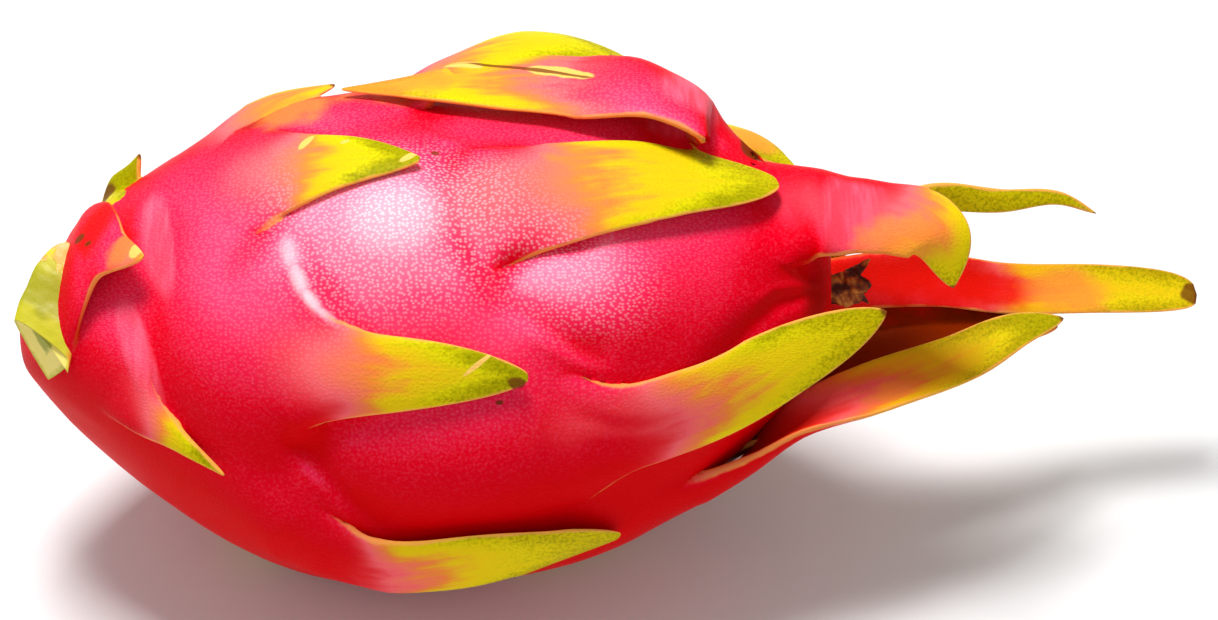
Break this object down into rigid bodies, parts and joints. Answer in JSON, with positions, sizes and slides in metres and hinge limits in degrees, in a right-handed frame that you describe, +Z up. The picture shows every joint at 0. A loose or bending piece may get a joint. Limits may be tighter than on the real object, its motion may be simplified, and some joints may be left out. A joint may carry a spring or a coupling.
{
  "type": "dragon fruit",
  "caption": "Dragon fruit lying on its side: red rind with leafy green-tipped bracts, a cut stem stub and dried flower remains.",
  "frame": {"origin": "middle of the flat spot that the fruit rests on", "axes": "+X from the stem end to the flower end, along the fruit's length; +Z up from the surface it lies on"},
  "size_m": [0.197, 0.0848, 0.0825],
  "materials": {
    "rind": "waxy satin skin, red to pink, with yellow-green bract tips",
    "stem": "matte green succulent stem with a pale cut face",
    "dried_flower": "matte brown, withered"
  },
  "bodies": {
    "root": {"fruit": "rind", "stem_stub": "stem", "flower_remnant": "dried_flower"}
  },
  "joints": []
}
